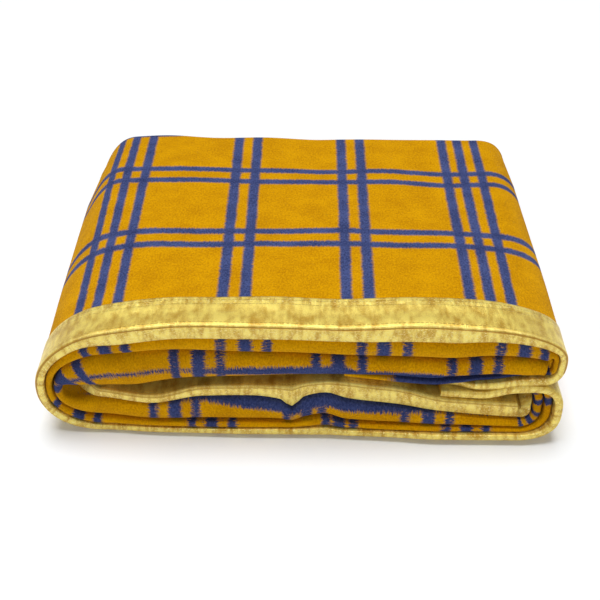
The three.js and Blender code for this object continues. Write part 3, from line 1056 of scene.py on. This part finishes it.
def cotton_material():
    cotton = Shading("brushed_cotton")
    sheet = cotton.attribute("sheet", "Vector")
    split = cotton.nodes.new("ShaderNodeSeparateXYZ")
    cotton.feed(split.inputs[0], sheet)
    run = split.outputs[1]
    reverse = split.outputs[2]
    along = cotton.attribute("stripe_along")
    across = cotton.larger(cotton.attribute("stripe_across"), face_pairs(cotton, run, reverse))

    # The nap drags fibres over the stripe edges, further on the rolls than on the flat face
    drag = cotton.add(cotton.times(reverse, REVERSE_DRAG), 1.0)
    teeth_along = cotton.noise(sheet, TEETH_ALONG, 3.0, 0.8)
    teeth_across = cotton.noise(sheet, TEETH_ACROSS, 3.0, 0.8)
    wobble = cotton.shift(cotton.noise(sheet, WOBBLE), WOBBLE_REACH)
    dragged_along = cotton.times(cotton.shift(teeth_along, TEETH_ALONG_REACH), drag)
    dragged_across = cotton.times(cotton.shift(teeth_across, TEETH_ACROSS_REACH), drag)
    along = cotton.add(cotton.add(along, dragged_along), wobble)
    across = cotton.add(cotton.add(across, dragged_across), wobble)
    along_mask = cotton.ramp(along, -SOFT_ALONG, SOFT_ALONG)
    across_mask = cotton.ramp(across, -SOFT_ACROSS, SOFT_ACROSS)
    crossing = cotton.times(cotton.times(along_mask, across_mask), CROSSING_SHADE)
    darker = cotton.larger(crossing, cotton.times(reverse, REVERSE_SHADE))

    # Fine clumps of fibre, with soft larger patches
    pile = cotton.noise(sheet, PILE, 3.0, 0.75)
    patches = cotton.noise(sheet, PATCHES, 3.0)
    shade = cotton.add(cotton.times(pile, PILE_SHARE), cotton.times(patches, 1 - PILE_SHARE))
    tone = cotton.ramp(shade, *COTTON_TONES)
    mustard = cotton.blend(tone, *MUSTARD)
    navy = cotton.blend(darker, cotton.blend(tone, *NAVY), cotton.blend(tone, *DARK_NAVY))
    cotton.surface("Base Color", cotton.blend(cotton.larger(along_mask, across_mask), mustard, navy))
    cotton.surface("Roughness", 0.95)
    cotton.surface("Specular IOR Level", 0.04)
    cotton.surface("Sheen Weight", 0.04)
    cotton.surface("Sheen Roughness", 0.5)
    cotton.surface("Sheen Tint", (1.0, 0.8, 0.45, 1.0))
    height = cotton.add(pile, cotton.times(teeth_across, 0.5))
    cotton.bump(height, strength=0.7, distance=0.002)
    return cotton.material


# Noise on the satin: per mm along it and per mm across it; the third value has no effect
SHEEN_PATCHES = (0.055, 0.05, 1.0)
PUCKERS = (0.17, 0.06, 1.0)
GRAIN = (1.1, 0.8, 1.0)
GLINTS = (0.42, 0.75, 1.0)

# Ranges of the satin's painted sheen between its two tones, and of the noise that gives its painted
# glints
SATIN_SHEEN_TONES = (0.36, 0.66)
GLINT_TONES = (0.52, 0.64)

# Where the satin puckers and its painted sheen and glints are stronger, in mm from its free edge and
# from its front corner
SEAM_PUCKERS = (14.0, 5.0)
FRONT_PUCKERS = (-3.0, 3.0)

# Thin lines on the satin: place and half width, in mm, and the share of it that is solid
LINE_CORE = 0.3
SEAMS = ((4.0, 0.6), (10.0, 0.5))
TICKS = (-4.5, 0.6)
# The ridge line is a painted highlight; the crease line is painted shade as well as a groove
RIDGE_HIGHLIGHT = (-1.6, 0.9)
CREASE = (0.0, 0.7)

# Stitches along the satin: pitch in mm and the share of it that is thread, with soft ends
STITCH_SOFTNESS = 0.3
SEAM_STITCHES = (3.4, 0.7)
TICK_STITCHES = (4.2, 0.55)


def satin_material():
    satin = Shading("gold_satin")
    along = satin.attribute("along")
    from_corner = satin.attribute("from_corner")
    from_edge = satin.attribute("from_edge")

    def line_at(distance, place, half):
        """One on a thin line at a place, fading to nothing beside it."""
        return satin.ramp(satin.apart(distance, place), half, LINE_CORE * half)

    def dashes(pitch, filled):
        """One on the thread of each stitch and nothing between the stitches."""
        end = filled * pitch
        return satin.ramp(satin.repeated(along, pitch), end + STITCH_SOFTNESS, end - STITCH_SOFTNESS)

    both = satin.nodes.new("ShaderNodeCombineXYZ")
    satin.feed(both.inputs[0], along)
    satin.feed(both.inputs[1], from_corner)
    place = both.outputs[0]
    patches = satin.noise(place, SHEEN_PATCHES)
    folds = satin.noise(place, PUCKERS)
    grain = satin.noise(place, GRAIN, 2.0, 0.7)

    # The satin puckers beside the seam and over the front, and lies smoother between them; its painted
    # sheen and glints are stronger there too
    near_seam = satin.ramp(from_edge, *SEAM_PUCKERS)
    near_front = satin.ramp(from_corner, *FRONT_PUCKERS)
    puckered = satin.larger(near_seam, near_front)
    strength = satin.add(satin.times(puckered, 0.32), 0.12)
    pucker = satin.times(satin.less(folds, 0.5), strength)
    # Painted sheen: patches, grain and puckers lighten and darken the gold as light off crinkled satin
    # would; the same sum is the bump height
    painted_sheen_and_height = satin.add(satin.times(patches, 0.5), satin.times(grain, 0.27))
    painted_sheen_and_height = satin.add(painted_sheen_and_height, satin.add(satin.times(folds, 0.28), pucker))
    # Painted glints: pale flecks, stronger where the satin puckers
    glint_spots = satin.ramp(satin.noise(place, GLINTS, 3.0, 0.65), *GLINT_TONES)
    painted_glints = satin.times(glint_spots, satin.add(satin.times(puckered, 0.55), 0.2))

    # Crease over the front with its painted shade, the painted highlight on its ridge, and the stitches
    creased = satin.attribute("creased")
    crease_groove_and_shade = satin.times(line_at(from_corner, *CREASE), creased)
    ridge_highlight = satin.times(line_at(from_corner, *RIDGE_HIGHLIGHT), creased)
    seam_lines = [satin.times(line_at(from_edge, *seam), dashes(*SEAM_STITCHES)) for seam in SEAMS]
    ticks = satin.times(line_at(from_corner, *TICKS), dashes(*TICK_STITCHES))
    stitches = satin.larger(satin.add(*seam_lines), ticks)

    # Gold from its dark tone to its painted sheen, then painted glints, stitches, the painted ridge
    # highlight and the painted crease shade
    base = satin.blend(satin.ramp(painted_sheen_and_height, *SATIN_SHEEN_TONES), *GOLD_AND_SHEEN)
    base = satin.blend(painted_glints, base, GLINT_GOLD)
    base = satin.blend(satin.times(stitches, 0.4), base, STITCH_GOLD)
    base = satin.blend(satin.times(ridge_highlight, 0.22), base, RIDGE_HIGHLIGHT_GOLD)
    base = satin.blend(satin.times(crease_groove_and_shade, 0.85), base, CREASE_SHADE_GOLD)
    satin.surface("Base Color", base)
    satin.surface("Metallic", 0.4)
    satin.surface("Roughness", 0.35)
    satin.surface("Specular IOR Level", 0.5)
    lowered = satin.add(satin.times(stitches, 0.35), satin.times(crease_groove_and_shade, 0.6))
    satin.bump(satin.less(painted_sheen_and_height, lowered), strength=0.7, distance=0.003)
    return satin.material


gold_satin = satin_material()
blanket.data.materials.append(cotton_material())
binding_outer.data.materials.append(gold_satin)
binding_inner.data.materials.append(gold_satin)

# What stands for what
for piece in (blanket, binding_outer, binding_inner):
    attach(piece, "root")
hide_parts("blanket")
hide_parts("binding_outer")
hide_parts("binding_inner")

# The floor reaches this many metres to each side
FLOOR_REACH = 40


def pale_floor():
    shading = Shading("pale_floor")
    shading.surface("Base Color", (0.9, 0.92, 0.95, 1))
    shading.surface("Roughness", 0.8)
    shading.surface("Specular IOR Level", 0.0)
    shading.surface("Emission Color", (1, 1, 1, 1))
    shading.surface("Emission Strength", 0.03)
    mesh = bpy.data.meshes.new("floor")
    sides = ((-1, -1), (1, -1), (1, 1), (-1, 1))
    corners = [(x * FLOOR_REACH, y * FLOOR_REACH, 0) for x, y in sides]
    mesh.from_pydata(corners, [], [(0, 1, 2, 3)])
    mesh.materials.append(shading.material)
    return linked("floor", mesh)


floor = pale_floor()

# Camera, worked out from the stripes that meet in the distance. Its place is in mm and its
# turns are in degrees, and the focal length is in pixels of a picture this wide
CAMERA_PLACE = (5.0, -884.9, 757.0)
CAMERA_DOWN = 39.0
CAMERA_YAW = 0.66
SENSOR_WIDTH = 36.0
PICTURE_WIDTH = 600
FOCAL_LENGTH = 1005


def photo_camera():
    data = bpy.data.cameras.new("camera")
    data.sensor_width = SENSOR_WIDTH
    data.lens = SENSOR_WIDTH * FOCAL_LENGTH / PICTURE_WIDTH
    camera = linked("camera", data)
    camera.location = [value * MM for value in CAMERA_PLACE]
    camera.rotation_euler = (math.radians(90 - CAMERA_DOWN), 0, math.radians(CAMERA_YAW))
    return camera


bpy.context.scene.camera = photo_camera()

# Soft studio light. Places and sizes are in metres, softness and tilt in degrees
FRONT_LIGHT_PLACE = (-0.3, -2.2, 1.5)
FRONT_LIGHT_TARGET = (0, 0, 0.05)
FRONT_LIGHT_SIZE = (1.8, 1.0)
FRONT_LIGHT_POWER = 9
OVERHEAD_STRENGTH = 2.65
OVERHEAD_SOFTNESS = 32
OVERHEAD_TILT = -4
WORLD_STRENGTH = 0.22


def front_light():
    data = bpy.data.lights.new("front_light", "AREA")
    data.shape = "RECTANGLE"
    data.size = FRONT_LIGHT_SIZE[0]
    data.size_y = FRONT_LIGHT_SIZE[1]
    data.energy = FRONT_LIGHT_POWER
    light = linked("front_light", data)
    light.location = FRONT_LIGHT_PLACE
    x, y, z = np.array(FRONT_LIGHT_TARGET) - np.array(FRONT_LIGHT_PLACE)
    light.rotation_euler = (math.atan2(math.hypot(x, y), -z), 0, math.atan2(-x, y))


def overhead_light():
    data = bpy.data.lights.new("overhead_light", "SUN")
    data.energy = OVERHEAD_STRENGTH
    data.angle = math.radians(OVERHEAD_SOFTNESS)
    light = linked("overhead_light", data)
    light.rotation_euler = (math.radians(OVERHEAD_TILT), math.radians(OVERHEAD_TILT), 0)


def white_world():
    world = bpy.data.worlds.new("studio")
    world.use_nodes = True
    background = world.node_tree.nodes["Background"]
    background.inputs["Color"].default_value = (1, 1, 1, 1)
    background.inputs["Strength"].default_value = WORLD_STRENGTH
    return world


front_light()
overhead_light()
bpy.context.scene.world = white_world()
bpy.context.scene.view_settings.view_transform = "Standard"

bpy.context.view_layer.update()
